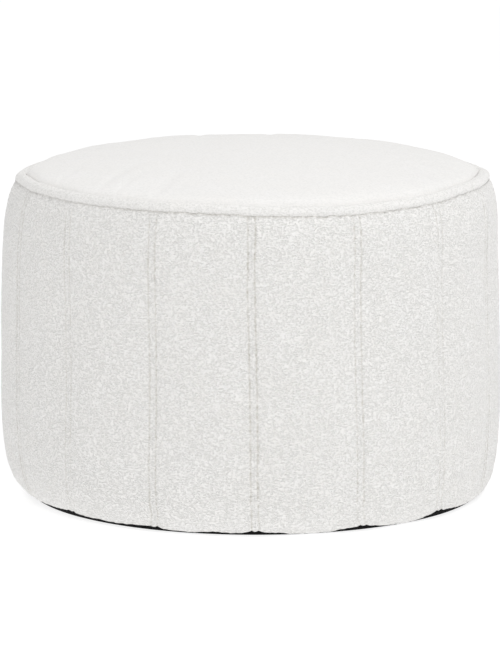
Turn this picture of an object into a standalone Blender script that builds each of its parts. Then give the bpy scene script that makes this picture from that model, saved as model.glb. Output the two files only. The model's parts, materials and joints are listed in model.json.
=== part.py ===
"""A round pouf in white curly pile cloth, with its base centre on the floor at the origin.

The wall is sixteen upright panels sewn side by side, piping of the same cloth runs round the rim,
and a black base cloth closes the underside. The front of the pouf faces -Y.
"""

import math

import bmesh
import bpy

MM = 0.001

# Wall: the outer face of the pile cloth, as radius against height, in millimetres.
WALL_PROFILE = (
    # height, radius
    (0.0, 225.2),
    (2.5, 228.2),
    (8.0, 233.4),
    (18.0, 239.4),
    (42.0, 245.2),
    (90.0, 248.3),
    (140.0, 247.8),
    (190.0, 246.9),
    (240.0, 245.6),
    (272.0, 244.0),
    (288.0, 241.8),
    (300.0, 238.8),
    (310.5, 234.2),
)
WALL_TOP = 310.5
CLOTH = 5.0
HEM_CLOTH = 2.6
CLOTH_GAP = 0.9
SEAM_GAP = 0.4

# How far the outline's centre stands to the right of the origin at each height, in millimetres.
LEAN = (
    # height, offset
    (0.0, 5.0),
    (20.0, 2.0),
    (42.0, 0.9),
    (90.0, 0.4),
    (240.0, 0.0),
    (290.0, 2.0),
    (315.0, 2.8),
)

# Rim: height of the piping's centre at each turn from the front. The sides have settled most.
RIM = (
    # turn in degrees, height
    (-180.0, 314.0),
    (-155.0, 314.6),
    (-135.0, 312.6),
    (-115.0, 309.6),
    (-100.0, 309.6),
    (-88.0, 311.7),
    (-75.0, 314.5),
    (-40.0, 316.2),
    (-11.0, 316.5),
    (0.0, 315.0),
    (10.0, 313.7),
    (23.0, 312.8),
    (35.0, 313.5),
    (50.0, 315.0),
    (62.0, 316.0),
    (75.0, 315.0),
    (88.0, 312.7),
    (100.0, 309.6),
    (115.0, 309.6),
    (135.0, 312.4),
    (155.0, 314.6),
    (180.0, 314.0),
)
RIM_LEVEL = 315.0
SETTLE_FROM = 120.0

# Wall seams: turn from the front, in degrees. Near the floor they run out to their hem's edge.
SEAMS = (
    # hem's edge, near the hem, middle, rim
    (-50.5, -46.7, -45.0, -47.3),
    (-24.7, -23.0, -22.0, -23.3),
    (0.2, 0.7, 0.7, -0.2),
    (27.2, 25.6, 24.9, 24.6),
    (50.9, 49.3, 48.3, 48.1),
    (72.5, 71.0, 70.3, 70.1),
    (94.0, 92.9, 92.8, 92.4),
    (115.9, 115.3, 115.0, 115.2),
    (137.0, 136.8, 137.4, 137.0),
    (159.4, 159.6, 159.4, 159.9),
    (181.2, 181.7, 181.9, 181.4),
    (203.6, 204.4, 204.0, 204.5),
    (225.0, 226.2, 226.4, 226.0),
    (247.4, 249.0, 248.6, 249.1),
    (268.4, 270.8, 271.0, 270.6),
    (290.0, 293.4, 293.2, 293.0),
)
TOE_HEIGHT = 3.0
SEAM_HEIGHTS = (20.0, 150.0, 300.0)
STITCH_LINE = 3.4
CHANNEL = (
    # distance from the seam, depth below the wall's face
    (0.0, 0.9),
    (1.6, 1.0),
    (3.4, 1.9),
    (5.2, 1.2),
    (8.0, 0.3),
    (14.0, 0.0),
    (60.0, 0.0),
)

# Between two seams the wall swells at mid-height and runs straighter at the rim.
SWELL = (
    # height, swell between seams
    (0.0, -0.8),
    (30.0, 0.8),
    (120.0, 1.6),
    (230.0, 1.0),
    (295.0, -1.4),
    (320.0, -2.2),
)

# Hem: the panels' lower edge over the floor. It is drawn up at each seam and sags on the right.
HEM_AT_SEAM = 4.6
HEM_LOW = 1.7
HEM_SAG = 0.5

# Piping: a roll of pile cloth on the rim.
PIPING_RADIUS = 5.5
PIPING_RING = 228.5
PIPING_POINTS = 80

# Crown: the top panel's face over the filling, as height against share of its radius.
CROWN_RING = 223.0
CROWN = (
    # share of the radius, height
    (0.0, 336.0),
    (0.25, 335.4),
    (0.5, 333.4),
    (0.75, 329.3),
    (0.865, 326.2),
    (0.92, 324.5),
    (0.955, 323.3),
    (0.98, 321.4),
    (0.992, 318.8),
    (1.0, 314.0),
)
FOLD_DEPTH = 1.3
BODY_STEPS = 48

# Base: a disc with its edge turned up inside the hem.
BASE_RING = 224.5
BASE_CLOTH = 1.5
BASE_TURN_UP = 4.8
BASE_TAPER = 0.7
BASE_STEPS = 64

PANEL_ROWS = (0.0, 0.018, 0.055, 0.14, 0.45, 0.76, 0.905, 0.966, 1.0)


def along(table, place):
    """Value of a two-column table at a place, on a smooth curve through its rows."""
    if place <= table[0][0]:
        return table[0][1]
    if place >= table[-1][0]:
        return table[-1][1]
    row = max(i for i in range(len(table) - 1) if table[i][0] <= place)
    slopes = []
    for i in (row, row + 1):
        before, after = max(i - 1, 0), min(i + 1, len(table) - 1)
        rise = table[after][1] - table[before][1]
        slopes.append(rise / (table[after][0] - table[before][0]))
    (x0, y0), (x1, y1) = table[row], table[row + 1]
    width = x1 - x0
    t = (place - x0) / width
    return (
        (2 * t**3 - 3 * t**2 + 1) * y0
        + (t**3 - 2 * t**2 + t) * width * slopes[0]
        + (3 * t**2 - 2 * t**3) * y1
        + (t**3 - t**2) * width * slopes[1]
    )


def seam_turn(seam, height):
    """Turn of one seam at a height, in radians from the front. Seam 16 is seam 0 a full turn on."""
    low, middle, high = SEAM_HEIGHTS
    at_edge, at_low, at_middle, at_high = SEAMS[seam % len(SEAMS)]
    turn = (
        at_low * (height - middle) * (height - high) / ((low - middle) * (low - high))
        + at_middle * (height - low) * (height - high) / ((middle - low) * (middle - high))
        + at_high * (height - low) * (height - middle) / ((high - low) * (high - middle))
    )
    toe = max(0.0, (low - height) / (low - TOE_HEIGHT)) ** 1.5
    return math.radians(turn + (at_edge - at_low) * toe + 360 * (seam // len(SEAMS)))


def across_panel(turn, height):
    """Place between the two seams on either side of a turn, from 0 to 1."""
    first = seam_turn(0, height)
    turn = first + (turn - first) % (2 * math.pi)
    for seam in range(len(SEAMS)):
        left, right = seam_turn(seam, height), seam_turn(seam + 1, height)
        if turn <= right:
            break
    return min(max((turn - left) / (right - left), 0.0), 1.0)


def swell(turn, height):
    """How far the wall's outline stands outside its plain circle at a turn and height."""
    bow = 1 - (2 * across_panel(turn, height) - 1) ** 2
    return along(SWELL, height) * (bow - 0.66)


def settled(turn, share):
    """How far a point has moved up with the rim at this turn, for its share of the rim's move."""
    degrees = (math.degrees(turn) + 180) % 360 - 180
    return (along(RIM, degrees) - RIM_LEVEL) * share


def place(turn, radius, height, share=0.0):
    """Point in metres from a turn, and a radius and height in millimetres."""
    x = along(LEAN, height) + radius * math.sin(turn)
    z = height + settled(turn, share)
    return (x * MM, -radius * math.cos(turn) * MM, z * MM)


def wall_share(height):
    """Share of the rim's move that the wall follows at a height."""
    return max(0.0, (height - SETTLE_FROM) / (WALL_TOP - SETTLE_FROM)) ** 2


def wall_section(height, depth):
    """Radius and height of the point at a depth under the wall's outer face, square to it."""
    step = 1.5
    low, high = max(height - step, 0.0), min(height + step, WALL_TOP)
    slope = (along(WALL_PROFILE, high) - along(WALL_PROFILE, low)) / (high - low)
    length = math.hypot(1.0, slope)
    return along(WALL_PROFILE, height) - depth / length, height + depth * slope / length


def wall_point(turn, height, depth):
    """Point in metres at a turn and height on the wall, at a depth under its outer face."""
    radius, level = wall_section(height, depth)
    return place(turn, radius + swell(turn, height), level, wall_share(height))


def hem_height(turn):
    """Height of the hem's lower edge: the seams draw it up, and it hangs lower on the right."""
    near = abs(2 * across_panel(turn, 5.0) - 1) ** 3
    low = HEM_LOW - HEM_SAG * math.sin(turn)
    return low + (HEM_AT_SEAM - low) * near


def cloth_material(name, colour, roughness):
    """A plain cloth finish."""
    material = bpy.data.materials.new(name)
    material.use_nodes = True
    shader = material.node_tree.nodes["Principled BSDF"]
    shader.inputs["Base Color"].default_value = (*colour, 1.0)
    shader.inputs["Roughness"].default_value = roughness
    shader.inputs["Metallic"].default_value = 0.0
    return material


def add_object(name, data, material, collection, parent):
    """Puts a mesh or a curve into the pouf's collection, under the pouf's empty."""
    data.materials.append(material)
    obj = bpy.data.objects.new(name, data)
    collection.objects.link(obj)
    obj.parent = parent
    return obj


def mesh_from(name, bm):
    """Closes a bmesh off as a smooth-shaded mesh whose faces point outwards."""
    bmesh.ops.remove_doubles(bm, verts=bm.verts[:], dist=1e-6)
    bmesh.ops.recalc_face_normals(bm, faces=bm.faces[:])
    for face in bm.faces:
        face.smooth = True
    mesh = bpy.data.meshes.new(name)
    bm.to_mesh(mesh)
    bm.free()
    return mesh


def panel_mesh(name, seam):
    """One wall panel: a strip of pile cloth between two seams, thinner where it is stitched down."""
    columns = (
        # share of the way to the next seam, then distance added along the wall
        (0.0, SEAM_GAP / 2),
        (0.0, STITCH_LINE),
        (0.0, 8.0),
        (0.0, 24.0),
        (0.5, 0.0),
        (1.0, -24.0),
        (1.0, -8.0),
        (1.0, -STITCH_LINE),
        (1.0, -SEAM_GAP / 2),
    )
    across, up = len(columns) - 1, len(PANEL_ROWS) - 1
    bm = bmesh.new()
    bmesh.ops.create_grid(bm, x_segments=across, y_segments=up, size=0.5)
    bmesh.ops.solidify(bm, geom=bm.faces[:], thickness=0.1)
    for vert in bm.verts:
        share, offset = columns[round((vert.co.x + 0.5) * across)]
        row = PANEL_ROWS[round((vert.co.y + 0.5) * up)]
        inside = vert.co.z < -0.05
        left, right = seam_turn(seam, 5.0), seam_turn(seam + 1, 5.0)
        hem = hem_height(left + share * (right - left) + offset / BASE_RING)
        height = hem + (WALL_TOP - hem) * row
        left, right = seam_turn(seam, height), seam_turn(seam + 1, height)
        turn = left + share * (right - left) + offset / along(WALL_PROFILE, height)
        distance = 48.0 if share == 0.5 else abs(offset)
        thickness = CLOTH if row > 0 else HEM_CLOTH
        depth = thickness if inside else along(CHANNEL, distance)
        vert.co = wall_point(turn, height, depth)
    return mesh_from(name, bm)


def turned_mesh(name, profile, steps):
    """Turns a profile of (radius, height) round the axis, from the axis back to the axis."""
    bm = bmesh.new()
    verts = [bm.verts.new((0.0, -radius * MM, height * MM)) for radius, height in profile]
    edges = [bm.edges.new(pair) for pair in zip(verts, verts[1:])]
    bmesh.ops.spin(
        bm,
        geom=verts + edges,
        cent=(0.0, 0.0, 0.0),
        axis=(0.0, 0.0, 1.0),
        angle=2 * math.pi,
        steps=steps,
        use_merge=True,
    )
    bmesh.ops.remove_doubles(bm, verts=bm.verts[:], dist=1e-6)
    return bm


def fold(turn, share):
    """Height of the soft folds that run in from the rim and die out towards the middle."""
    reach = max(0.0, 1 - abs(share - 0.82) / 0.26)
    wave = math.sin(11 * turn + 0.9) + 0.6 * math.sin(7 * turn + 2.1)
    return FOLD_DEPTH * reach**1.5 * wave / 1.6


def filled_body_mesh(name):
    """The filled body: flat underneath, barrel sides under the wall panels and a crowned top."""
    sides = (4.0, 9.0, 19.0, 45.0, 140.0, 235.0, 279.0, 297.0, 309.0)
    profile = [(0.0, 1.9), (120.0, 1.9), (220.8, 1.9), (220.9, 7.6)]
    profile += [wall_section(height, CLOTH + CLOTH_GAP) for height in sides]
    profile += [(225.6, 309.0), (223.2, 311.2)]
    profile += [(share * CROWN_RING, height) for share, height in reversed(CROWN)]
    bm = turned_mesh(name, profile, BODY_STEPS)
    for vert in bm.verts:
        radius, height = math.hypot(vert.co.x, vert.co.y) / MM, vert.co.z / MM
        turn = math.atan2(vert.co.x, -vert.co.y)
        inward = min(radius / CROWN_RING, 1.0)
        radius += inward**4 * swell(turn, height)
        if height < CROWN[-1][1] - 0.01:
            vert.co = place(turn, radius, height, min(wall_share(height), 1.0))
        else:
            vert.co = place(turn, radius, height + fold(turn, inward), inward**16)
    return mesh_from(name, bm)


def base_panel_mesh(name):
    """The base cloth: a flat disc with its edge turned up."""
    top = BASE_RING - BASE_TAPER
    profile = (
        (0.0, 0.0),
        (BASE_RING - 1.2, 0.0),
        (BASE_RING, 1.0),
        (top, BASE_TURN_UP),
        (top - BASE_CLOTH, BASE_TURN_UP),
        (top - BASE_CLOTH, BASE_CLOTH),
        (0.0, BASE_CLOTH),
    )
    bm = turned_mesh(name, profile, BASE_STEPS)
    for vert in bm.verts:
        vert.co.x += LEAN[0][1] * MM
    return mesh_from(name, bm)


def piping_curve(name):
    """The piping: a closed roll that follows the rim."""
    curve = bpy.data.curves.new(name, "CURVE")
    curve.dimensions = "3D"
    curve.bevel_depth = PIPING_RADIUS * MM
    curve.bevel_resolution = 2
    spline = curve.splines.new("POLY")
    spline.points.add(PIPING_POINTS - 1)
    spline.use_cyclic_u = True
    for index, point in enumerate(spline.points):
        turn = 2 * math.pi * index / PIPING_POINTS
        radius = PIPING_RING + swell(turn, RIM_LEVEL)
        point.co = (*place(turn, radius, RIM_LEVEL, 1.0), 1.0)
    return curve


def main():
    for obj in list(bpy.data.objects):
        bpy.data.objects.remove(obj)

    collection = bpy.data.collections.new("pouf")
    bpy.context.scene.collection.children.link(collection)
    pouf = bpy.data.objects.new("pouf", None)
    collection.objects.link(pouf)

    pile = (0.86, 0.86, 0.84)
    body_finish = cloth_material("top pile cloth", pile, 0.95)
    wall_finish = cloth_material("wall pile cloth", pile, 0.95)
    piping_finish = cloth_material("piping pile cloth", pile, 0.95)
    base_finish = cloth_material("black base cloth", (0.012, 0.012, 0.012), 0.8)

    name = "filled_body"
    add_object(name, filled_body_mesh(name), body_finish, collection, pouf)
    for seam in range(len(SEAMS)):
        name = f"side_panel_{seam + 1:02d}"
        add_object(name, panel_mesh(name, seam), wall_finish, collection, pouf)
    add_object("piping", piping_curve("piping"), piping_finish, collection, pouf)
    name = "base_panel"
    add_object(name, base_panel_mesh(name), base_finish, collection, pouf)


main()
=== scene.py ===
"""Looks of a round pouf in white curly pile cloth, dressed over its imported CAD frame.

Sizes are in millimetres and turns in degrees, unless a name says otherwise. A turn is measured from
the front of the pouf (-Y) towards its right (+X). Meshes are made in metres, in the frame's place.
"""

import json
import logging
import math
from dataclasses import dataclass
from enum import Enum

import bmesh
import bpy
import numpy as np
from bpy.types import ID, Material, Mesh, Node, NodeSocket, NodeTree, Object
from mathutils import Matrix, Vector, noise

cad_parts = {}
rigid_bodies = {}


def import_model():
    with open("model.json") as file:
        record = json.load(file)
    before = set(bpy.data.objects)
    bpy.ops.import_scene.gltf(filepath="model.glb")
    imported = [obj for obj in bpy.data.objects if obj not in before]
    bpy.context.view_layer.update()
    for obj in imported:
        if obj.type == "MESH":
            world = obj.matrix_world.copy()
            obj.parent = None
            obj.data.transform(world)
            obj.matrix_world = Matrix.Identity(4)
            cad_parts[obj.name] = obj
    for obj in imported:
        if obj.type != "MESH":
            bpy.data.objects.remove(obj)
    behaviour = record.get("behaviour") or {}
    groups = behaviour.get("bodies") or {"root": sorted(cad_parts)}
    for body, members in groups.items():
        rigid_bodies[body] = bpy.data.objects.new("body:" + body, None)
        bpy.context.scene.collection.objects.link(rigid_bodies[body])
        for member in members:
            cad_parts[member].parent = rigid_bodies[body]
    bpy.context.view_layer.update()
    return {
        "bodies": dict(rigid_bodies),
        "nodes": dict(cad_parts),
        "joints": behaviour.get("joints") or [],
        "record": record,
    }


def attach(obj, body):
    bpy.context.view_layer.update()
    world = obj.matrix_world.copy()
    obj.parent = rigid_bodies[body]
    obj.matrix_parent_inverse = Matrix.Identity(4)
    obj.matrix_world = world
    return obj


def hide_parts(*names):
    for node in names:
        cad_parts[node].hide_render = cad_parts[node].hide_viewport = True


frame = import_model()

Array = np.ndarray
Place = tuple[float, float, float]

MM = 0.001
FULL_TURN = 2 * math.pi
BODY = "root"
PRESSED_AND_SHADED = "pressed"
NOISE_SEED = 7

log = logging.getLogger("pouf")


class Slot(Enum):
    """The record's material slots."""

    PILE = "pile_cloth"
    BASE = "base_cloth"


# ---------------------------------------------------------------------------------------------
# Shared measures


@dataclass(frozen=True)
class Curve:
    """A smooth curve through the rows of a two-column table."""

    rows: tuple[tuple[float, float], ...]

    def at(self, places: Array) -> Array:
        """Reads the curve at many places.

        Args:
            places: Values of the table's first column. Those past an end take the end's value.

        Returns:
            The second column's values there.
        """
        x, y = np.array(self.rows, float).T
        slopes = np.gradient(y, x)
        slopes[1:-1] = (y[2:] - y[:-2]) / (x[2:] - x[:-2])
        held = np.clip(places, x[0], x[-1])
        row = np.clip(np.searchsorted(x, held, side="right") - 1, 0, len(x) - 2)
        width = x[row + 1] - x[row]
        t = (held - x[row]) / width
        return (
            (2 * t**3 - 3 * t**2 + 1) * y[row]
            + (t**3 - 2 * t**2 + t) * width * slopes[row]
            + (3 * t**2 - 2 * t**3) * y[row + 1]
            + (t**3 - t**2) * width * slopes[row + 1]
        )


def eased(values: Array) -> Array:
    """Values held from 0 to 1, with a soft start and end."""
    t = np.clip(values, 0.0, 1.0)
    return t * t * (3 - 2 * t)


def wobble(places: Array, row: float) -> Array:
    """Works out smooth uneven values along a line.

    Args:
        places: Places along the line, one wave or so for each unit.
        row: Which of the many uneven lines to read.

    Returns:
        Values from about -0.7 to 0.7.
    """
    first, last = float(places.min()), float(places.max())
    steps = np.linspace(first, last, int((last - first) * 12) + 2)
    values = [noise.noise(Vector((step, row, 0.37))) for step in steps.tolist()]
    return np.interp(places, steps, values)


def in_degrees(turn: Array) -> Array:
    """Turns in radians as degrees from -180 to 180."""
    return (np.degrees(turn) + 180) % 360 - 180


@dataclass(frozen=True)
class PoufShape:
    """The pouf's form, with its CAD solids' measures.

    Only the roll is a little fatter, and the rim up to 3 mm higher at the left and right ends.
    """

    wall_profile: Curve = Curve(
        (
            # height, radius of the pile's face
            (0.0, 225.2), (2.5, 228.2), (8.0, 233.4), (18.0, 239.4), (42.0, 245.2), (90.0, 248.3),
            (140.0, 247.8), (190.0, 246.9), (240.0, 245.6), (272.0, 244.0), (288.0, 241.8),
            (300.0, 238.8), (310.5, 234.2),
        )
    )
    lean: Curve = Curve(
        (
            # height, how far the outline's centre stands to the right
            (0.0, 5.0), (20.0, 2.0), (42.0, 0.9), (90.0, 0.4), (240.0, 0.0), (290.0, 2.0),
            (315.0, 2.8),
        )
    )
    rim: Curve = Curve(
        (
            # turn, height of the piping's centre
            (-180.0, 314.0), (-155.0, 314.6), (-135.0, 312.6), (-115.0, 310.4), (-100.0, 312.0),
            (-88.0, 313.5), (-75.0, 316.4), (-40.0, 316.2), (-11.0, 316.5), (0.0, 315.0),
            (10.0, 313.7), (23.0, 312.8), (35.0, 313.5), (50.0, 315.0), (62.0, 317.2),
            (75.0, 317.0), (88.0, 315.2), (100.0, 312.4), (115.0, 311.0), (135.0, 312.4),
            (155.0, 314.6), (180.0, 314.0),
        )
    )
    swell_between: Curve = Curve(
        (
            # height, swell between two seams
            (0.0, -0.8), (30.0, 0.8), (120.0, 1.6), (230.0, 1.0), (295.0, -1.4), (320.0, -2.2),
        )
    )
    seams: tuple[tuple[float, float, float, float], ...] = (
        # turn at the hem's edge, near the hem, at mid-height and at the rim
        (-50.5, -46.7, -45.0, -47.3),
        (-24.7, -23.0, -22.0, -23.3),
        (0.2, 0.7, 0.7, -0.2),
        (27.2, 25.6, 24.9, 24.6),
        (50.9, 49.3, 48.3, 48.1),
        (72.5, 71.0, 70.3, 70.1),
        (94.0, 92.9, 92.8, 92.4),
        (115.9, 115.3, 115.0, 115.2),
        (137.0, 136.8, 137.4, 137.0),
        (159.4, 159.6, 159.4, 159.9),
        (181.2, 181.7, 181.9, 181.4),
        (203.6, 204.4, 204.0, 204.5),
        (225.0, 226.2, 226.4, 226.0),
        (247.4, 249.0, 248.6, 249.1),
        (268.4, 270.8, 271.0, 270.6),
        (290.0, 293.4, 293.2, 293.0),
    )
    mean_bow: float = 0.66
    toe_height: float = 3.0
    seam_heights: tuple[float, float, float] = (20.0, 150.0, 300.0)
    wall_top: float = 310.5
    rim_level: float = 315.0
    roll_ring: float = 227.6
    roll_radius: float = 6.1
    roll_level: float = 313.5
    settle_from: float = 120.0
    cloth: float = 5.0
    hem_cloth: float = 2.6
    cloth_gap: float = 0.9
    stitch_line: float = 3.4
    stitch_pitch: float = 4.6
    base_ring: float = 224.5

    def seam_turn(self, seam: int, height: Array) -> Array:
        """Finds where a seam stands.

        Args:
            seam: Number of the seam. 16 is seam 0, a full turn on.
            height: Heights to read it at.

        Returns:
            Its turns in radians.
        """
        low, middle, high = self.seam_heights
        rounds, index = divmod(seam, len(self.seams))
        at_hem, at_low, at_middle, at_high = self.seams[index]
        turn = (
            at_low * (height - middle) * (height - high) / ((low - middle) * (low - high))
            + at_middle * (height - low) * (height - high) / ((middle - low) * (middle - high))
            + at_high * (height - low) * (height - middle) / ((high - low) * (high - middle))
        )
        toe = np.maximum(0.0, (low - height) / (low - self.toe_height)) ** 1.5
        return np.radians(turn + (at_hem - at_low) * toe + 360 * rounds)

    def sides(self, seam: int, height: Array) -> tuple[Array, Array]:
        """Turns in radians of a seam and of the next one to its right."""
        return self.seam_turn(seam, height), self.seam_turn(seam + 1, height)

    def across_panel(self, turn: Array, height: Array) -> Array:
        """Finds the place between the two seams on either side.

        Args:
            turn: Turns in radians.
            height: Heights, one for each turn.

        Returns:
            Places from 0 at the left seam to 1 at the right seam.
        """
        first = self.seam_turn(0, height)
        held = first + (turn - first) % FULL_TURN
        across = np.zeros_like(held)
        for seam in range(len(self.seams)):
            left, right = self.sides(seam, height)
            inside = (held >= left) & (held <= right)
            across = np.where(inside, (held - left) / (right - left), across)
        return across

    def swell(self, turn: Array, height: Array) -> Array:
        """How far the outline stands outside its plain circle."""
        bow = 1 - (2 * self.across_panel(turn, height) - 1) ** 2
        return self.swell_between.at(height) * (bow - self.mean_bow)

    def settled(self, turn: Array, share: Array) -> Array:
        """How far points move up with the rim, for their share of the rim's move."""
        return (self.rim.at(in_degrees(turn)) - self.rim_level) * share

    def place(self, turn: Array, radius: Array, height: Array, share: Array) -> Array:
        """Places points round the pouf.

        Args:
            turn: Turns in radians.
            radius: Distances from the outline's centre.
            height: Heights on a level pouf.
            share: Shares of the rim's own rise and fall that the points follow.

        Returns:
            Points in millimetres, one row each.
        """
        x = self.lean.at(height) + radius * np.sin(turn)
        return np.stack([x, -radius * np.cos(turn), height + self.settled(turn, share)], axis=1)

    def wall_share(self, height: Array) -> Array:
        """Share of the rim's move that the wall follows at a height."""
        way_up = (height - self.settle_from) / (self.wall_top - self.settle_from)
        return np.maximum(0.0, way_up) ** 2

    def wall_section(self, height: Array, depth: Array) -> tuple[Array, Array]:
        """Finds points under the wall's face, square to it.

        Args:
            height: Heights on the face.
            depth: Depths under the face. A point that stands proud has a depth below 0.

        Returns:
            Their radii and heights.
        """
        step = 1.5
        low = np.maximum(height - step, 0.0)
        high = np.minimum(height + step, self.wall_top)
        slope = (self.wall_profile.at(high) - self.wall_profile.at(low)) / (high - low)
        length = np.hypot(1.0, slope)
        return self.wall_profile.at(height) - depth / length, height + depth * slope / length

    def roll_face(self, height: Array) -> Array:
        """Outer radius of the rim's roll at heights on a level pouf."""
        off = np.minimum(np.abs(self.roll_level - height), self.roll_radius)
        return self.roll_ring + np.sqrt(self.roll_radius**2 - off**2)

    def wall_point(self, turn: Array, height: Array, depth: Array) -> Array:
        """Points in millimetres at turns and heights on the wall, at depths under its face."""
        radius, level = self.wall_section(height, depth)
        return self.place(turn, radius + self.swell(turn, height), level, self.wall_share(height))


@dataclass(frozen=True)
class Pile:
    """The curled pile: small rounded nubs on slower swells."""

    nub: float = 4.0
    nub_height: float = 0.38
    winding: float = 1.6
    clump: float = 20.0
    clump_height: float = 0.2
    drift: float = 70.0
    drift_height: float = 0.5

    def relief(self, points: Array, shown: Array) -> tuple[Array, Array]:
        """Works out how far the pile stands off its mean face.

        Args:
            points: Points in millimetres on the mean face, one row each.
            shown: Which of them have pile. The others stay where they are.

        Returns:
            The fine relief of the nubs, and the slow unevenness, in millimetres.
        """
        fine, slow = np.zeros(len(points)), np.zeros(len(points))
        for row, point in zip(np.flatnonzero(shown).tolist(), points[shown].tolist()):
            place = Vector(point)
            winding = noise.noise_vector(place / (2 * self.nub)) * self.winding
            fine[row] = self.nub_height * noise.noise((place + winding) / self.nub)
            slow[row] = self.clump_height * noise.noise(place / self.clump)
            slow[row] += self.drift_height * noise.noise(place / self.drift)
        return fine, slow


# ---------------------------------------------------------------------------------------------
# Finishes


def linear(hexadecimal: str) -> tuple[float, float, float, float]:
    """Turns an sRGB colour to a linear one.

    Args:
        hexadecimal: Red, green and blue, such as F3F1EC.

    Returns:
        Linear red, green and blue, and an alpha of 1.
    """
    values = (int(hexadecimal[i : i + 2], 16) / 255 for i in (0, 2, 4))
    red, green, blue = (v / 12.92 if v <= 0.04045 else ((v + 0.055) / 1.055) ** 2.4 for v in values)
    return (red, green, blue, 1.0)


def per_mm(size: float) -> float:
    """Scale of a texture whose pattern repeats about every so many millimetres."""
    return 1.0 / (size * MM)


def bands_per_mm(size: float) -> float:
    """Scale of a wave texture whose bands are so many millimetres apart."""
    return per_mm(size) * math.pi / 10


def add_node(
    tree: NodeTree,
    kind: str,
    inputs: dict[str | int, object] | None = None,
    **settings: object,
) -> Node:
    """Adds one shader node with its settings and links.

    Args:
        tree: The node tree.
        kind: Blender's name for the node's type.
        inputs: Sockets by name or number, each with a value or the socket that it is fed from.
        **settings: The node's own properties.

    Returns:
        The new node.
    """
    node = tree.nodes.new(kind)
    for name, value in settings.items():
        setattr(node, name, value)
    for name, value in (inputs or {}).items():
        if isinstance(value, NodeSocket):
            tree.links.new(value, node.inputs[name])
        else:
            node.inputs[name].default_value = value
    return node


def cloth_surface(
    tree: NodeTree,
    colour: NodeSocket,
    height: NodeSocket,
    bump: tuple[float, float],
    looks: dict[str, float],
) -> None:
    """Ends a cloth's node tree with its relief and its shader.

    Args:
        tree: The node tree.
        colour: The cloth's colour.
        height: The relief, from 0 to 1.
        bump: The relief's strength, and its size in millimetres.
        looks: The shader's other inputs.
    """
    strength, lift = bump
    relief = add_node(
        tree, "ShaderNodeBump", {"Height": height, "Strength": strength, "Distance": lift * MM}
    )
    inputs = {"Base Color": colour, "Normal": relief.outputs["Normal"], **looks}
    shader = add_node(tree, "ShaderNodeBsdfPrincipled", inputs)
    add_node(tree, "ShaderNodeOutputMaterial", {"Surface": shader.outputs["BSDF"]})


def new_material(name: str) -> tuple[Material, NodeTree]:
    """Starts a node material.

    Args:
        name: What the real stuff is called.

    Returns:
        The material, and its empty tree.
    """
    material = bpy.data.materials.new(name)
    material.use_nodes = True
    material.node_tree.nodes.clear()
    return material, material.node_tree


@dataclass(frozen=True)
class SherpaFleece:
    """Polyester sherpa fleece: a knitted backing with a short pile curled by heat."""

    name: str = "sherpa fleece"
    tips: str = "F6F5F4"
    cream: str = "F4F2EF"
    hollow_shade: str = "E5E4E1"
    ground_and_painted_shade: str = "C9C5BB"
    curl: float = 2.1
    flatness: float = 1.6
    hollows: tuple[float, float] = (0.28, 0.6)
    fibre: float = 0.9
    fibre_share: float = 0.3
    patch: float = 26.0
    bump: float = 1.0
    lift: float = 0.65

    def material(self) -> Material:
        """Makes the fleece.

        Returns:
            A near-white matt cloth. Small hollows between its curls, darkened with painted shade,
            give the eye a crumbly grain.
        """
        material, tree = new_material(self.name)
        where = add_node(tree, "ShaderNodeTexCoord").outputs["Object"]
        # Curls of 3 mm hang a little flattened on a wall. One noise of an even size, bent round,
        # gives short worms and hollows.
        hung = add_node(
            tree, "ShaderNodeMapping", {"Vector": where, "Scale": (1.0, 1.0, self.flatness)}
        ).outputs["Vector"]
        curls = add_node(
            tree,
            "ShaderNodeTexNoise",
            {"Vector": hung, "Scale": per_mm(self.curl), "Detail": 0.0, "Distortion": 0.6},
        )
        low, high = self.hollows
        # The curls' depth drives both the bump and the painted shade in their hollows.
        depth = add_node(
            tree,
            "ShaderNodeMapRange",
            {"Value": curls.outputs["Fac"], "From Min": low, "From Max": high},
        )
        # Single fibres are 0.02 mm, so they are drawn as tufts of nearly 1 mm to show at all.
        fibres = add_node(
            tree,
            "ShaderNodeTexNoise",
            {"Vector": where, "Scale": per_mm(self.fibre), "Detail": 2.0},
        )
        height = add_node(
            tree,
            "ShaderNodeMath",
            {0: fibres.outputs["Fac"], 1: self.fibre_share, 2: depth.outputs[0]},
            operation="MULTIPLY_ADD",
        )
        # The dye lot is even, but the pile lies either way and looks a little creamier in patches.
        patches = add_node(
            tree,
            "ShaderNodeTexNoise",
            {"Vector": where, "Scale": per_mm(self.patch), "Detail": 2.0},
        )
        tone = add_node(
            tree,
            "ShaderNodeMix",
            {0: patches.outputs["Fac"], 6: linear(self.tips), 7: linear(self.cream)},
            data_type="RGBA",
        )
        # Painted shade: the hollows between curls take a darker colour, deeper shade than the bump
        # alone gives.
        colour = add_node(
            tree,
            "ShaderNodeMix",
            {0: depth.outputs[0], 6: linear(self.hollow_shade), 7: tone.outputs[2]},
            data_type="RGBA",
        )
        # Sewing presses the pile flat, so the greyer knitted backing shows under the stitches.
        # The grey is also painted shade: in the stitch grooves, and alone in the crevice under the
        # rim's roll.
        sewn = add_node(tree, "ShaderNodeAttribute", attribute_name=PRESSED_AND_SHADED)
        colour = add_node(
            tree,
            "ShaderNodeMix",
            {0: sewn.outputs["Fac"], 6: colour.outputs[2], 7: linear(self.ground_and_painted_shade)},
            data_type="RGBA",
        )
        looks = {
            "Roughness": 1.0,
            "IOR": 1.45,
            "Specular IOR Level": 0.2,
            "Sheen Weight": 0.32,
            "Sheen Roughness": 0.6,
        }
        cloth_surface(tree, colour.outputs[2], height.outputs[0], (self.bump, self.lift), looks)
        return material


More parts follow.
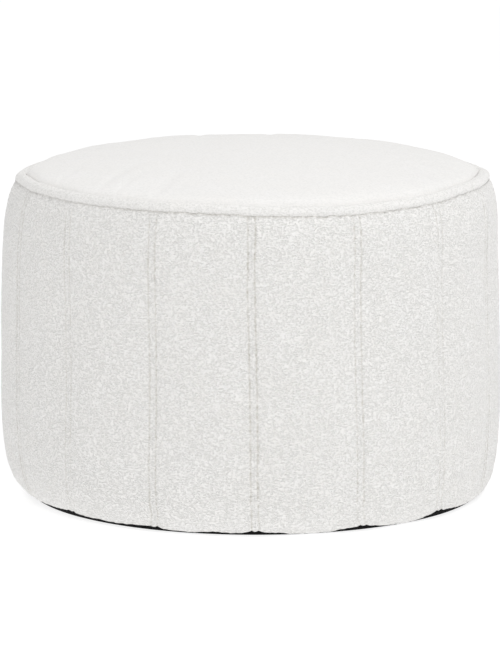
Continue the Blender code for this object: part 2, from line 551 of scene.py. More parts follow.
@dataclass(frozen=True)
class SewingThread:
    """Spun polyester sewing thread, two plies twisted."""

    name: str = "polyester sewing thread"
    light: str = "E8E6E0"
    dark: str = "D9D6CF"
    ply: float = 0.7

    def material(self) -> Material:
        """Makes the thread.

        Returns:
            Off-white thread a shade darker than the pile, with slanting plies and painted shade
            in the hollows between them.
        """
        material, tree = new_material(self.name)
        where = add_node(tree, "ShaderNodeTexCoord").outputs["Object"]
        turned = add_node(
            tree, "ShaderNodeMapping", {"Vector": where, "Rotation": (0.0, math.radians(35), 0.0)}
        )
        plies = add_node(
            tree,
            "ShaderNodeTexWave",
            {"Vector": turned.outputs[0], "Scale": bands_per_mm(self.ply), "Distortion": 0.6},
            bands_direction="Z",
        )
        # Painted shade: the dark tone lies in the hollows of the plies' bump.
        colour = add_node(
            tree,
            "ShaderNodeMix",
            {0: plies.outputs["Fac"], 6: linear(self.dark), 7: linear(self.light)},
            data_type="RGBA",
        )
        looks = {"Roughness": 0.75, "IOR": 1.5, "Sheen Weight": 0.1}
        cloth_surface(tree, colour.outputs[2], plies.outputs["Fac"], (0.4, 0.1), looks)
        return material


@dataclass(frozen=True)
class BaseCanvas:
    """Black polyester base canvas in a plain weave."""

    name: str = "black base canvas"
    crown: str = "111112"
    gap: str = "050506"
    thread: float = 2.0
    slub: float = 9.0

    def material(self) -> Material:
        """Makes the canvas.

        Returns:
            A matt black cloth with a plain weave. Threads of 0.5 mm are drawn at 2 mm to show.
        """
        material, tree = new_material(self.name)
        where = add_node(tree, "ShaderNodeTexCoord").outputs["Object"]
        bands = {"Vector": where, "Scale": bands_per_mm(self.thread)}
        warp, weft = (
            add_node(
                tree,
                "ShaderNodeTexWave",
                {**bands, "Distortion": 0.4, "Detail": 1.0},
                bands_direction=axis,
            ).outputs["Fac"]
            for axis in ("X", "Y")
        )
        weave = add_node(tree, "ShaderNodeMath", {0: warp, 1: weft}, operation="MAXIMUM").outputs[0]
        slubs = add_node(
            tree, "ShaderNodeTexNoise", {"Vector": where, "Scale": per_mm(self.slub), "Detail": 3.0}
        )
        mixed = add_node(
            tree, "ShaderNodeMath", {0: weave, 1: slubs.outputs["Fac"]}, operation="MULTIPLY"
        )
        # The gap tone is painted shade between the threads, and a random darker tone where the slub
        # noise is low.
        colour = add_node(
            tree,
            "ShaderNodeMix",
            {0: mixed.outputs[0], 6: linear(self.gap), 7: linear(self.crown)},
            data_type="RGBA",
        )
        looks = {"Roughness": 0.85, "IOR": 1.5, "Specular IOR Level": 0.3}
        cloth_surface(tree, colour.outputs[2], weave, (0.5, 0.25), looks)
        return material


# ---------------------------------------------------------------------------------------------
# Meshes


def template(name: str, bm: bmesh.types.BMesh) -> Mesh:
    """Turns a bmesh into a mesh, and frees it.

    Args:
        name: The mesh's name.
        bm: The bmesh.

    Returns:
        A smooth-shaded mesh whose faces point outwards.
    """
    bmesh.ops.recalc_face_normals(bm, faces=bm.faces[:])
    for face in bm.faces:
        face.smooth = True
    mesh = bpy.data.meshes.new(name)
    bm.to_mesh(mesh)
    bm.free()
    return mesh


def linked(name: str, data: ID) -> Object:
    """Makes an object of a mesh, a light or a camera.

    Args:
        name: The object's name.
        data: What it shows.

    Returns:
        The object, at the origin, in the scene.
    """
    made = bpy.data.objects.new(name, data)
    bpy.context.scene.collection.objects.link(made)
    return made


def points_of(mesh: Mesh) -> Array:
    """Reads a mesh's points.

    Args:
        mesh: The mesh.

    Returns:
        One row for each point.
    """
    flat = np.empty(len(mesh.vertices) * 3, np.float32)
    mesh.vertices.foreach_get("co", flat)
    return flat.reshape(-1, 3).astype(float)


@dataclass
class Dress:
    """A part of the pouf's looks, made in one cloth or thread."""

    shape: PoufShape
    material: Material

    def piece(self, name: str, mesh: Mesh, points: Array, pressed: Array | None = None) -> Object:
        """Puts a mesh's points in place and makes a piece of it.

        Args:
            name: The piece's name.
            mesh: Its mesh.
            points: New places of its vertices, in millimetres.
            pressed: How far sewing presses the pile down at each vertex, from 0 to 1. The colour
            takes as much painted shade there.

        Returns:
            The piece, at the origin, riding on the pouf's body.
        """
        mesh.name = name
        mesh.vertices.foreach_set("co", (points * MM).astype(np.float32).ravel())
        if pressed is not None:
            values = mesh.attributes.new(PRESSED_AND_SHADED, "FLOAT", "POINT").data
            values.foreach_set("value", pressed.astype(np.float32))
        mesh.update()
        mesh.materials.append(self.material)
        piece = linked(name, mesh)
        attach(piece, BODY)
        return piece


@dataclass
class WallPanels(Dress):
    """The sixteen upright panels of pile cloth, sewn side by side."""

    pile: Pile
    cells_across: int = 10
    cells_up: int = 24
    cuts: int = 8
    edge_gap: float = 0.04
    tighter_at_seams: float = 0.35
    rim_tuck: float = 0.7
    rim_wave: float = 1.2
    rim_waves: float = 62.0
    rim_turn: float = 2.6
    rim_shade: float = 0.6
    side_shade: float = 0.3
    rim_fold: float = -2.8
    rim_clearance: float = 0.06
    groove: float = 0.32
    groove_width: float = 0.9
    dimple: float = 0.36
    wander: float = 0.7
    wander_length: float = 4.5
    uneven: float = 1.7
    uneven_length: float = 4.0
    pressed_and_shaded_between: float = 0.2
    pressed_and_shaded_at_holes: float = 0.35
    flattened: float = 0.4
    channel: float = 0.5
    channel_width: float = 3.6
    tightness: tuple[float, ...] = (
        # how tight each seam is sewn
        *(0.35, 0.75, 1.0, 0.8, 0.4, 0.6, 0.8, 0.7),
        *(0.9, 0.7, 0.8, 1.0, 0.7, 0.8, 0.6, 0.7),
    )
    hem: Curve = Curve(
        (
            # turn, height of the hem's lower edge over the floor between its arches
            (-180.0, 3.0), (-150.0, 2.6), (-120.0, 3.4), (-90.0, 3.8), (-69.0, 5.8), (-62.0, 6.0),
            (-56.0, 6.6), (-52.0, 7.2), (-49.0, 6.3), (-45.5, 5.3), (-39.0, 4.9), (-36.0, 4.0),
            (-31.4, 4.7), (-26.0, 4.6), (-20.0, 2.6), (-15.4, 1.9), (-9.4, 3.8), (-6.5, 2.9),
            (-2.0, 3.6), (0.4, 4.1), (3.0, 3.4), (6.5, 2.9), (9.0, 1.3), (17.5, 1.2), (20.0, 2.7),
            (23.5, 4.5), (27.0, 4.6), (30.0, 4.0), (33.0, 2.5), (36.0, 1.5), (42.0, 1.4),
            (46.0, 4.0), (50.0, 6.9), (56.0, 6.1), (60.0, 4.4), (64.0, 3.2), (75.0, 3.0),
            (100.0, 3.4), (140.0, 2.7), (180.0, 3.0),
        )
    )
    hem_arch: float = 1.3
    hem_arch_at: float = 3.7
    hem_arch_width: float = 2.4
    hem_wave: float = 0.5
    hem_waves: float = 46.0
    pucker_radius: float = 240.0
    puckers: tuple[tuple[float, float, float, float], ...] = (
        # turn, lowest height, width, depth
        (-57.0, 292.0, 2.6, 1.3),
        (-30.5, 293.0, 2.2, 1.1),
        (-18.6, 296.0, 2.0, 1.1),
        (9.0, 298.0, 2.4, 0.7),
        (40.0, 294.0, 2.4, 1.1),
        (62.0, 297.0, 2.6, 0.8),
        (104.0, 293.0, 2.4, 1.1),
        (147.0, 295.0, 2.4, 1.1),
        (-168.0, 292.0, 2.4, 1.2),
        (-121.0, 295.0, 2.4, 1.0),
        (-84.0, 294.0, 2.6, 1.0),
    )

    def hem_height(self, turn: Array, seam_distance: Array) -> Array:
        """Finds the hem's lower edge over the floor.

        Args:
            turn: Turns in radians.
            seam_distance: Distances to the nearest seam.

        Returns:
            Heights. The stitch lines draw the hem up in two small arches beside each seam.
        """
        off_line = (seam_distance - self.hem_arch_at) / self.hem_arch_width
        arch = self.hem_arch * np.exp(-(off_line**2))
        wave = self.hem_wave * wobble(turn * self.hem_waves, 3.0)
        return self.hem.at(in_degrees(turn)) + arch + wave

    def stitched(self, seam: int, side: int, distance: Array, height: Array) -> tuple[Array, Array]:
        """Finds what sewing does to the cloth on one side of a seam.

        Args:
            seam: Number of the seam.
            side: 1 on its right, -1 on its left.
            distance: Distances from the seam.
            height: Heights on the wall.

        Returns:
            Depths below the plain face, and how far the pile is pressed, which also sets the
            painted shade in the colour. There is a shallow channel, and a groove under the row of
            stitches, deepest where the thread goes in.
        """
        beat = 0.5 + 0.5 * np.cos(FULL_TURN * height / self.shape.stitch_pitch)
        off_line = (distance - self.line(seam, side, height)) / self.groove_width
        under = np.exp(-(off_line**2))
        index = seam % len(self.tightness)
        tight = self.tightness[index]
        # The row of the wobble only has to be another one for each row of stitches.
        stray = wobble(height / self.uneven_length, 11.3 * index + 2.9 * side)
        uneven = 1.0 + self.uneven * stray
        channel = self.channel * np.exp(-((distance / self.channel_width) ** 2) / 2)
        depth = tight * ((self.groove * uneven + self.dimple * beat) * under + channel)
        pressed = (self.pressed_and_shaded_between + self.pressed_and_shaded_at_holes * beat) * uneven
        return depth, tight * under * np.clip(pressed, 0.0, 1.0)

    def line(self, seam: int, side: int, height: Array) -> Array:
        """Distances from a seam to the row of stitches on one side, which wanders a little."""
        index = seam % len(self.tightness)
        stray = wobble(height / self.wander_length, 7.1 * index + 3.3 * side)
        return self.shape.stitch_line + self.wander * stray

    def pucker_depth(self, turn: Array, height: Array) -> Array:
        """Finds the short upright creases where the wall is gathered under the rim.

        Args:
            turn: Turns in radians.
            height: Heights on the wall.

        Returns:
            Their depths below the plain face.
        """
        depth = np.zeros_like(turn)
        for at, lowest, width, deepest in self.puckers:
            away = (turn - math.radians(at) + math.pi) % FULL_TURN - math.pi
            line = np.exp(-((away * self.pucker_radius / width) ** 2))
            depth += deepest * line * eased((height - lowest) / (self.shape.wall_top - lowest - 2))
        return depth

    def plain_sheet(self) -> Mesh:
        """Makes a sheet for every panel to start from.

        Returns:
            A thin closed sheet on a unit square. Its face is fine, and its back is coarse.
        """
        bm = bmesh.new()
        bmesh.ops.create_grid(bm, x_segments=self.cells_across, y_segments=self.cells_up, size=0.5)
        bmesh.ops.solidify(bm, geom=bm.faces[:], thickness=0.1)
        faces = [face for face in bm.faces if all(vert.co.z > -0.05 for vert in face.verts)]
        edges = {edge for face in faces for edge in face.edges}
        for edge in edges:
            edge.smooth = all(face in faces for face in edge.link_faces)
        bmesh.ops.subdivide_edges(bm, edges=list(edges), cuts=self.cuts, use_grid_fill=True)
        return template("plain sheet", bm)

    def panel(self, seam: int, mesh: Mesh) -> Object:
        """Makes one panel.

        Args:
            seam: Number of the seam on its left.
            mesh: A plain sheet on a unit square.

        Returns:
            The panel: a thin closed sheet whose face is fine enough for the pile.
        """
        shape = self.shape
        across, up, side = points_of(mesh).T
        across, up, inner = across + 0.5, up + 0.5, side < -0.05
        across = across - self.tighter_at_seams * np.sin(FULL_TURN * across) / FULL_TURN
        level = np.full_like(across, shape.toe_height)
        left, right = shape.sides(seam, level)
        distance = np.minimum(across, 1 - across) * (right - left) * shape.base_ring
        at_floor = left + across * (right - left)
        hem = self.hem_height(at_floor, distance)
        wave = self.rim_wave * wobble(at_floor * self.rim_waves, 9.0)
        top = shape.wall_top + self.rim_tuck + wave
        height = hem + (top - hem) * up
        left, right = shape.sides(seam, height)
        radius = shape.wall_profile.at(height)
        left, right = left + self.edge_gap / radius, right - self.edge_gap / radius
        turn = left + across * (right - left)
        face = shape.wall_point(turn, height, np.zeros_like(turn))
        fine, slow = self.pile.relief(face, ~inner)
        left_depth, left_pressed_and_shaded = self.stitched(seam, 1, (turn - left) * radius, height)
        right_depth, right_pressed_and_shaded = self.stitched(seam + 1, -1, (right - turn) * radius, height)
        at_rim = eased(1 - (top - height) / self.rim_turn)
        # Painted shade: the wall's top edge, in the crevice under the roll, takes the grey colour,
        # less towards the sides.
        in_front = self.side_shade + (1 - self.side_shade) * np.cos(turn) ** 2
        rim_pressed_and_shaded = self.rim_shade * at_rim**2 * in_front
        pressed = np.maximum(np.maximum(left_pressed_and_shaded, right_pressed_and_shaded), rim_pressed_and_shaded)
        depth = left_depth + right_depth + self.pucker_depth(turn, height)
        turned_in = radius - shape.roll_face(height) - self.rim_clearance
        thickness = np.where(up > 0.001, shape.cloth, shape.hem_cloth)
        depth = depth - fine * (1 - self.flattened * pressed) - slow
        depth = np.where(inner, thickness, depth + (turned_in - depth) * at_rim)
        points = shape.wall_point(turn, height, depth)
        points[inner & (up > 0.999), 2] += self.rim_fold
        name = f"wall_panel_{seam + 1:02d}"
        piece = self.piece(name, mesh, points, pressed)
        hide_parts(f"side_panel_{seam + 1:02d}")
        self.flat_size(seam)
        return piece

    def flat_size(self, seam: int) -> tuple[float, float]:
        """Measures a panel cut out flat.

        Args:
            seam: Number of the seam on its left.

        Returns:
            Its width and length in metres.
        """
        heights = np.linspace(0.0, self.shape.wall_top, 200)
        radii = self.shape.wall_profile.at(heights)
        length = np.hypot(np.diff(heights), np.diff(radii)).sum()
        left, right = self.shape.sides(seam, np.array(self.shape.seam_heights[1:2]))
        return float((right - left)[0] * radii.max()) * MM, float(length) * MM

    def build(self) -> list[Object]:
        """Makes all sixteen panels.

        Returns:
            The panels, from the seam at the front left round to the right.
        """
        sheet = self.plain_sheet()
        panels = [self.panel(seam, sheet.copy()) for seam in range(len(self.shape.seams))]
        bpy.data.meshes.remove(sheet)
        return panels


@dataclass
class Topstitching(Dress):
    """Two rows of stitches beside each wall seam."""

    wall: WallPanels
    thread: float = 0.55
    stitch: float = 3.2
    sunk: float = 0.1
    lowest: float = 12.0
    highest: float = 304.0
    apart: float = 4.0

    def heights(self) -> Array:
        """Finds the stitches of one row.

        Returns:
            Height of each one's middle, halfway between two places where the thread goes in.
        """
        pitch = self.shape.stitch_pitch
        first = pitch * (math.ceil(self.lowest / pitch) + 0.5)
        return np.arange(first, self.highest, pitch)

    def plain_stitches(self) -> Mesh:
        """Makes the beads for every seam to start from.

        Returns:
            Unit beads in a column, one bead of thread for each stitch of a seam's two rows.
        """
        bm = bmesh.new()
        for number in range(2 * len(self.heights())):
            bmesh.ops.create_uvsphere(
                bm,
                u_segments=6,
                v_segments=4,
                radius=1.0,
                matrix=Matrix.Translation((0.0, 0.0, self.apart * number)),
            )
        return template("plain stitches", bm)

    def seam_rows(self, seam: int, mesh: Mesh) -> Object:
        """Makes the two rows of one seam.

        Args:
            seam: Number of the seam.
            mesh: The plain stitches.

        Returns:
            One piece with both rows, each stitch a slim bead of thread that lies in its groove.
        """
        shape = self.shape
        height = np.tile(self.heights(), 2)
        side = np.repeat([-1.0, 1.0], len(height) // 2)
        depth, away = np.empty_like(height), np.empty_like(height)
        for sign in (-1, 1):
            row = side == sign
            away[row] = self.wall.line(seam, sign, height[row])
            depth[row] = self.wall.stitched(seam, sign, away[row], height[row])[0]
        turn = shape.seam_turn(seam, height) + side * away / shape.wall_profile.at(height)
        depth = depth + self.sunk
        middle = shape.wall_point(turn, height, depth)
        run = shape.wall_point(turn, height + 1.0, depth) - middle
        run /= np.linalg.norm(run, axis=1, keepdims=True)
        out = np.stack([np.sin(turn), -np.cos(turn), np.zeros_like(turn)], axis=1)
        cross = np.cross(run, out)
        cross /= np.linalg.norm(cross, axis=1, keepdims=True)
        out = np.cross(cross, run)
        bead = points_of(mesh)
        number = np.round(bead[:, 2] / self.apart).astype(int)
        bead[:, 2] -= self.apart * number
        points = middle[number] + (
            bead[:, :1] * cross[number] * self.thread / 2
            + bead[:, 1:2] * out[number] * self.thread / 2
            + bead[:, 2:] * run[number] * self.stitch / 2
        )
        return self.piece(f"topstitch_{seam + 1:02d}", mesh, points)

    def build(self) -> list[Object]:
        """Makes the rows of all sixteen seams.

        Returns:
            One piece for each seam.
        """
        plain = self.plain_stitches()
        seams = range(len(self.shape.seams))
        rows = [self.seam_rows(seam, plain.copy()) for seam in seams]
        bpy.data.meshes.remove(plain)
        return rows


@dataclass(frozen=True)
class Fold:
    """A soft fold of the top cloth, along a line in plan."""

    start: tuple[float, float]
    end: tuple[float, float]
    depth: float
    width: float
    narrow: float = 0.7
    widens: float = 0.6
    starts: float = 0.4
    ends: float = 1.15
    start_fade: float = 0.25
    end_fade: float = 0.6
    shoulder: float = 1.1

    def height(self, x: Array, y: Array) -> Array:
        """Works out how far the fold moves the cloth.

        Args:
            x: Places to the right.
            y: Places to the back.

        Returns:
            Heights: a valley with a raised shoulder on either side, which dies out at both ends.
        """
        (x0, y0), (x1, y1) = self.start, self.end
        length = math.hypot(x1 - x0, y1 - y0)
        along = ((x - x0) * (x1 - x0) + (y - y0) * (y1 - y0)) / length**2
        off = ((x - x0) * (y1 - y0) - (y - y0) * (x1 - x0)) / length
        wide = self.width * (self.narrow + self.widens * np.clip(along, 0.0, 1.0))
        reach = eased(along / self.start_fade + self.starts)
        reach = reach * eased((self.ends - along) / self.end_fade)
        square = (off / wide) ** 2
        return -self.depth * reach * (1 - self.shoulder * square) * np.exp(-square)


@dataclass(frozen=True)
class Stuffing:
    """The push of the filling under the top cloth, worked out by a cloth simulation."""

    cell: float = 9.0
    slack: float = 2.0
    dents: float = 2.0
    pressure: float = 4.0
    frames: int = 20
    cap: float = 12.0
    dent_size: float = 60.0
    edge_fade: float = 0.15

    def unevenness(self, ring: float, crown: Curve, x: Array, y: Array) -> Array:
        """Blows slack cloth up over a dented filling, held round its rim.

        Args:
            ring: Radius of the top cloth.
            crown: Height of the crown, by shares of the ring.
            x: Places to the right.
            y: Places to the back.

        Returns:
            How far the cloth ends above or below an even crown at each place, in millimetres.
        """
        count = round(2 * ring / self.cell)
        bm = bmesh.new()
        bmesh.ops.create_grid(bm, x_segments=count, y_segments=count, size=ring)
        outside = [vert for vert in bm.verts if vert.co.length > ring]
        bmesh.ops.delete(bm, geom=outside, context="VERTS")
        mesh = template("slack top cloth", bm)
        start = points_of(mesh)
        out = np.hypot(start[:, 0], start[:, 1])
        dents = np.array([noise.noise(Vector(point) / self.dent_size) for point in start.tolist()])
        start[:, 2] = crown.at(out / ring) - self.slack + self.dents * dents
        rise = self.blown_up(mesh, start, out > ring - 1.5 * self.cell)
        end = start[:, 2] + rise - crown.at(out / ring)
        even = np.polyval(np.polyfit(out**2, end, 4), out**2)
        left_over = (end - even) * eased((1.0 - out / ring) / self.edge_fade)
        log.info("left over %.2f to %.2f mm", left_over.min(), left_over.max())
        grid = np.zeros((count + 1, count + 1))
        columns, rows = np.round((start[:, :2].T + ring) / (2 * ring) * count).astype(int)
        grid[rows, columns] = left_over
        u, v = (np.clip((place + ring) / (2 * ring), 0.0, 0.9999) * count for place in (x, y))
        column, row = u.astype(int), v.astype(int)
        u, v = u - column, v - row
        near = grid[row, column] * (1 - u) + grid[row, column + 1] * u
        far = grid[row + 1, column] * (1 - u) + grid[row + 1, column + 1] * u
        return near * (1 - v) + far * v

    def blown_up(self, mesh: Mesh, start: Array, held: Array) -> Array:
        """Runs the simulation on a mesh, and deletes the mesh.

        Args:
            mesh: The slack cloth.
            start: Its points in millimetres.
            held: Which of them are sewn down.

        Returns:
            How far each point rises, up to the cap.
        """
        scene = bpy.context.scene
        mesh.vertices.foreach_set("co", (start * MM).astype(np.float32).ravel())
        trial = linked("slack top cloth", mesh)
        trial.vertex_groups.new(name="sewn down").add(np.flatnonzero(held).tolist(), 1.0, "ADD")
        cloth = trial.modifiers.new("stuffing", "CLOTH")
        cloth.settings.vertex_group_mass = "sewn down"
        cloth.settings.quality = 6
        cloth.settings.use_pressure = True
        cloth.settings.uniform_pressure_force = self.pressure
        cloth.settings.effector_weights.gravity = 0.0
        cloth.point_cache.frame_start = 1
        cloth.point_cache.frame_end = self.frames
        for frame in range(1, self.frames + 1):
            scene.frame_set(frame)
        blown = trial.evaluated_get(bpy.context.evaluated_depsgraph_get())
        rise = points_of(blown.data)[:, 2] / MM - start[:, 2]
        log.info("stuffing lifts the cloth %.2f to %.2f mm", rise.min(), rise.max())
        scene.frame_set(1)
        bpy.data.objects.remove(trial)
        bpy.data.meshes.remove(mesh)
        return np.clip(rise, 0.0, self.cap)


@dataclass
class CrownedTop(Dress):
    """The filled body: the top panel's crowned cloth, and the hidden filling inside the wall."""

    pile: Pile
    ring: float = 222.4
    crown: Curve = Curve(
        (
            # share of the ring, height
            (0.0, 336.6), (0.25, 336.1), (0.5, 334.3), (0.75, 330.3), (0.865, 327.6), (0.92, 325.9),
            (0.955, 324.3), (0.975, 322.6), (0.988, 320.5), (1.0, 317.6),
        )
    )
    cells: int = 286
    stuffing: Stuffing = Stuffing()
    pile_share: float = 0.35
    fold_fade: float = 0.03
    hidden_heights: tuple[float, ...] = (305.5, 290.0, 235.0, 140.0, 45.0, 16.0)
    lip: tuple[float, float] = (220.6, 311.2)
    heel: tuple[float, float] = (221.2, 8.2)
    foot: tuple[float, float] = (220.8, 1.9)
    folds: tuple[Fold, ...] = (
        Fold((-95.0, -201.0), (-60.0, -48.0), 0.9, 9.0),
        Fold((-149.0, -161.0), (-111.0, -37.0), 1.1, 8.0),
        Fold((-131.0, -175.0), (-101.0, -78.0), 0.9, 6.0),
        Fold((-190.0, -113.0), (-168.0, -40.0), 0.9, 7.0),
        Fold((185.0, -116.0), (146.0, -16.0), 1.2, 8.0),
        Fold((166.0, -150.0), (137.0, -71.0), 0.8, 8.0),
        Fold((223.0, -17.0), (179.0, 17.0), 0.9, 6.0),
        Fold((205.0, -66.0), (164.0, 27.0), 1.0, 6.0),
        Fold((199.0, -87.0), (135.0, 50.0), 0.7, 6.0),
        Fold((166.0, 28.0), (129.0, 55.0), 0.6, 9.0),
        Fold((120.0, 188.0), (66.0, 88.0), 1.0, 9.0),
        Fold((-60.0, 214.0), (-32.0, 108.0), 1.0, 9.0),
        Fold((-168.0, 146.0), (-98.0, 84.0), 1.0, 8.0),
        Fold((20.0, 222.0), (12.0, 140.0), 0.8, 8.0),
        Fold((-214.0, 62.0), (-150.0, 34.0), 0.9, 8.0),
    )

    def build(self) -> Object:
        """Makes the filled body.

        Returns:
            One closed piece. Its crown is a fine mesh, and its hidden sides are plain.
        """
        shape = self.shape
        bm = bmesh.new()
        bmesh.ops.create_grid(bm, x_segments=self.cells, y_segments=self.cells, size=1.0)
        edge = [e for e in bm.edges if e.is_boundary]
        hidden = self.hidden_rings()
        for _ in hidden:
            made = bmesh.ops.extrude_edge_only(bm, edges=edge)["geom"]
            edge = [e for e in made if isinstance(e, bmesh.types.BMEdge) and e.is_boundary]
            moved = [v for v in made if isinstance(v, bmesh.types.BMVert)]
            bmesh.ops.translate(bm, verts=moved, vec=(0.0, 0.0, -1.0))
        bmesh.ops.holes_fill(bm, edges=edge, sides=0)
        mesh = template("crowned top", bm)
        a, b, down = points_of(mesh).T
        share, turn = self.on_disc(a, b)
        points = self.crown_points(share, turn, np.round(-down) < 0.5)
        for number, (radius, height) in enumerate(hidden, start=1):
            row = np.round(-down) == number
            level = np.full(row.sum(), height)
            out = radius + shape.swell(turn[row], level)
            points[row] = shape.place(turn[row], out, level, shape.wall_share(level).clip(0, 1))
        piece = self.piece("crowned_top", mesh, points)
        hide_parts("filled_body")
        return piece

    def hidden_rings(self) -> list[tuple[float, float]]:
        """Finds the rings of the filling inside the wall.

        Returns:
            Radius and height of each one, from the rim down to the foot.
        """
        shape = self.shape
        under = shape.cloth + shape.cloth_gap
        heights = np.array(self.hidden_heights)
        radii, levels = shape.wall_section(heights, np.full_like(heights, under))
        sides = zip(radii.tolist(), levels.tolist())
        return [self.lip, *sides, self.heel, self.foot]

    def on_disc(self, a: Array, b: Array) -> tuple[Array, Array]:
        """Maps a square onto the crown, with rings evenly spaced along its face.

        Args:
            a: Places from -1 to 1, to the right.
            b: Places from -1 to 1, to the back.

        Returns:
            Shares of the crown's ring, and turns in radians.
        """
        ring = np.maximum(np.abs(a), np.abs(b))
        wide = np.abs(a) > np.abs(b)
        safe_a, safe_b = np.where(a == 0, 1.0, a), np.where(b == 0, 1.0, b)
        angle = np.where(
            wide,
            math.pi / 4 * b / safe_a + np.where(a < 0, math.pi, 0.0),
            math.pi / 2 - math.pi / 4 * a / safe_b + np.where(b < 0, math.pi, 0.0),
        )
        shares = np.linspace(0.0, 1.0, 2001)
        steps = np.hypot(np.diff(shares) * self.ring, np.diff(self.crown.at(shares)))
        length = np.concatenate([[0.0], np.cumsum(steps)])
        share = np.interp(np.minimum(ring, 1.0), length / length[-1], shares)
        return share, angle + math.pi / 2

    def crown_points(self, share: Array, turn: Array, shown: Array) -> Array:
        """Places the crown's points.

        Args:
            share: Shares of the crown's ring.
            turn: Turns in radians.
            shown: Which of them belong to the crown. The others are left at its edge.

        Returns:
            Points in millimetres.
        """
        shape = self.shape
        radius = share * self.ring
        x, y = radius * np.sin(turn), -radius * np.cos(turn)
        height = self.crown.at(share)
        height = height + self.stuffing.unevenness(self.ring, self.crown, x, y)
        for fold in self.folds:
            height = height + fold.height(x, y) * eased((1.0 - share) / self.fold_fade)
        step = 0.003
        rise = self.crown.at(np.minimum(share + step, 1.0)) - self.crown.at(share - step)
        slope = rise / ((np.minimum(share + step, 1.0) - share + step) * self.ring)
        length = np.hypot(1.0, slope)
        # The outline's swell fades out on the crown, and only its edge moves with the rim.
        radius, follows = radius + share**4 * shape.swell(turn, height), share**16
        face = shape.place(turn, radius, height, follows)
        fine, slow = self.pile.relief(face, shown)
        proud = self.pile_share * fine + slow
        radius, height = radius - proud * slope / length, height + proud / length
        return shape.place(turn, radius, height, follows)


@dataclass
class RimPiping(Dress):
    """The roll of pile cloth that follows the rim."""

    pile: Pile
    pile_share: float = 0.5
    swell_share: float = 0.6
    sewn_at: float = -38.0
    sewn_width: float = 24.0
    around: int = 22
    steps: int = 960

    def build(self) -> Object:
        """Makes the piping.

        Returns:
            One closed ring.
        """
        shape = self.shape
        bm = bmesh.new()
        bmesh.ops.create_grid(bm, x_segments=self.steps, y_segments=self.around, size=0.5)
        along, round_roll, _ = np.array([vert.co for vert in bm.verts], float).T
        turn, section = FULL_TURN * along, FULL_TURN * round_roll
        level = np.full_like(turn, shape.roll_level)
        ring = shape.roll_ring + shape.swell(turn, np.full_like(turn, shape.wall_top))
        share = np.ones_like(turn)

        def at(roll: Array) -> Array:
            """Points of the roll where it has these radii."""
            out, up = roll * np.cos(section), roll * np.sin(section)
            return shape.place(turn, ring + out, level + up, share)

        plain = at(np.full_like(turn, shape.roll_radius))
        fine, slow = self.pile.relief(plain, np.full(len(turn), True))
        held = np.exp(-(((np.degrees(section) - self.sewn_at) / self.sewn_width) ** 2))
        proud = (self.pile_share * fine + self.swell_share * slow) * (1 - held)
        points = at(shape.roll_radius + proud)
        for vert, point in zip(bm.verts, points.tolist()):
            vert.co = point
        bmesh.ops.remove_doubles(bm, verts=bm.verts[:], dist=0.01)
        mesh = template("rim piping", bm)
        piece = self.piece("rim_piping", mesh, points_of(mesh))
        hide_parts("piping")
        return piece


@dataclass
class Underside(Dress):
    """The black base cloth, with its edge turned up inside the hem."""

    cloth: float = 1.5
    turn_up: float = 6.8
    taper: float = 0.7
    steps: int = 240

    def build(self) -> Object:
        """Makes the base cloth.

        Returns:
            One closed sheet, flat on the floor.
        """
        ring = self.shape.base_ring
        top = ring - self.taper
        inside = top - self.cloth
        profile = (
            # radius, height
            *((0.0, 0.0), (ring - 6.0, 0.0), (ring - 1.6, 0.0), (ring - 0.5, 0.35), (ring, 1.2)),
            *((top + 0.3, 3.2), (top, self.turn_up - 0.4), (top - 0.4, self.turn_up)),
            *((inside + 0.4, self.turn_up), (inside, self.turn_up - 0.4)),
            *((inside, self.cloth + 0.8), (inside - 0.8, self.cloth), (0.0, self.cloth)),
        )
        bm = bmesh.new()
        verts = [bm.verts.new((0.0, -radius, height)) for radius, height in profile]
        edges = [bm.edges.new(pair) for pair in zip(verts, verts[1:])]
        bmesh.ops.spin(
            bm,
            geom=verts + edges,
            cent=(0.0, 0.0, 0.0),
            axis=(0.0, 0.0, 1.0),
            angle=FULL_TURN,
            steps=self.steps,
            use_merge=True,
        )
        bmesh.ops.remove_doubles(bm, verts=bm.verts[:], dist=1e-4)
        mesh = template("underside cloth", bm)
        points = points_of(mesh)
        points[:, 0] += self.shape.lean.rows[0][1]
        piece = self.piece("underside_cloth", mesh, points)
        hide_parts("base_panel")
        return piece


# ---------------------------------------------------------------------------------------------
# Studio


def aimed(thing: Object, place: Place, aim: Place) -> None:
    """Puts a light or a camera at a place in metres, and points it at another."""
    thing.location = place
    thing.rotation_euler = (Vector(aim) - Vector(place)).to_track_quat("-Z", "Y").to_euler()


@dataclass(frozen=True)
class SoftLight:
    """A large soft light, in metres and watts."""

    name: str
    place: Place
    aim: Place
    side: float
    power: float

    def add(self) -> None:
        """Adds the light to the scene."""
        data = bpy.data.lights.new(self.name, "AREA")
        data.size = self.side
        data.energy = self.power
        aimed(linked(self.name, data), self.place, self.aim)


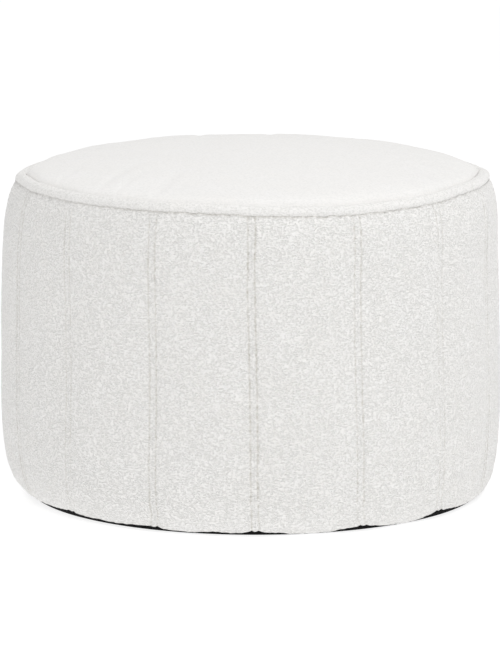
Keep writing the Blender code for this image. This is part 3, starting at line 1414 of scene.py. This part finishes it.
@dataclass(frozen=True)
class Studio:
    """A white studio: camera, floor, sky and soft lights."""

    camera_place: Place = (0.0, -5.0845, 1.0900)
    camera_aim: Place = (0.0, 0.0, 0.154)
    lens: float = 279.8
    sensor: float = 36.0
    floor_side: float = 60.0
    floor_dark: str = "969696"
    floor_light: str = "9C9C9C"
    floor_glow: float = 0.8
    sky: str = "FFFFFF"
    sky_strength: float = 0.645
    lights: tuple[SoftLight, ...] = (
        SoftLight("overhead softbox", (0.6, -0.5, 2.6), (0.0, 0.0, 0.3), 2.2, 25.2),
        SoftLight("front right softbox", (2.0, -2.6, 1.9), (0.0, 0.0, 0.2), 1.6, 11.2),
        SoftLight("left fill card", (-2.2, -1.9, 0.9), (0.0, 0.0, 0.2), 1.4, 4.1),
    )

    def add_camera(self) -> None:
        """Adds the camera at the photograph's angle."""
        data = bpy.data.cameras.new("camera")
        data.lens = self.lens
        data.sensor_width = self.sensor
        data.clip_end = 100.0
        camera = linked("camera", data)
        aimed(camera, self.camera_place, self.camera_aim)
        bpy.context.scene.camera = camera

    def add_floor(self) -> None:
        """Adds a matt white floor that glows a little, as an over-lit studio sweep does."""
        material, tree = new_material("matt white studio floor")
        where = add_node(tree, "ShaderNodeTexCoord").outputs["Object"]
        grain = add_node(
            tree, "ShaderNodeTexNoise", {"Vector": where, "Scale": per_mm(25.0), "Detail": 2.0}
        )
        colour = add_node(
            tree,
            "ShaderNodeMix",
            {0: grain.outputs["Fac"], 6: linear(self.floor_dark), 7: linear(self.floor_light)},
            data_type="RGBA",
        )
        shader = add_node(
            tree,
            "ShaderNodeBsdfPrincipled",
            {
                "Base Color": colour.outputs[2],
                "Roughness": 1.0,
                "Specular IOR Level": 0.0,
                "Emission Color": linear("FFFFFF"),
                "Emission Strength": self.floor_glow,
            },
        )
        add_node(tree, "ShaderNodeOutputMaterial", {"Surface": shader.outputs["BSDF"]})
        bm = bmesh.new()
        bmesh.ops.create_grid(bm, x_segments=1, y_segments=1, size=self.floor_side / 2)
        mesh = bpy.data.meshes.new("studio floor")
        bm.to_mesh(mesh)
        bm.free()
        mesh.materials.append(material)
        linked("studio_floor", mesh)

    def add_sky(self) -> None:
        """Adds an even white sky."""
        world = bpy.data.worlds.new("white studio")
        world.use_nodes = True
        background = world.node_tree.nodes["Background"]
        background.inputs["Color"].default_value = linear(self.sky)
        background.inputs["Strength"].default_value = self.sky_strength
        bpy.context.scene.world = world

    def build(self) -> None:
        """Sets the whole studio up, with plain sRGB tones."""
        self.add_camera()
        self.add_floor()
        self.add_sky()
        for light in self.lights:
            light.add()
        bpy.context.scene.view_settings.view_transform = "Standard"


def main() -> None:
    """Builds the studio and the pouf's pieces in order."""
    logging.basicConfig(level=logging.INFO, format="%(name)s: %(message)s")
    # The pile's winding reads noise at offsets that the clock would pick if no seed was set.
    noise.seed_set(NOISE_SEED)
    Studio().build()
    shape, pile = PoufShape(), Pile()
    fleece = SherpaFleece().material()
    # Copies of one fleece with painted shade set for each part: the seat's and the roll's tips are
    # a shade darker than the wall's, and the seat's hollows are lighter. The seat's pile is also
    # pressed flatter.
    seat_fleece = SherpaFleece(
        "sherpa fleece pressed by sitting", tips="F3F2F1", cream="F1EFEC", hollow_shade="EBEAE8", bump=0.25
    ).material()
    roll_fleece = SherpaFleece(
        "sherpa fleece on the roll", tips="EFEEED", hollow_shade="E3E2DF", bump=0.5
    ).material()
    top = CrownedTop(shape, seat_fleece, pile).build()
    wall = WallPanels(shape, fleece, pile)
    panels = wall.build()
    piping = RimPiping(shape, roll_fleece, pile).build()
    stitching = Topstitching(shape, SewingThread().material(), wall).build()
    underside = Underside(shape, BaseCanvas().material()).build()
    for piece in (top, *panels, piping, *stitching, underside):
        log.info("%s: %d faces", piece.name, len(piece.data.polygons))


if __name__ == "__main__":
    main()
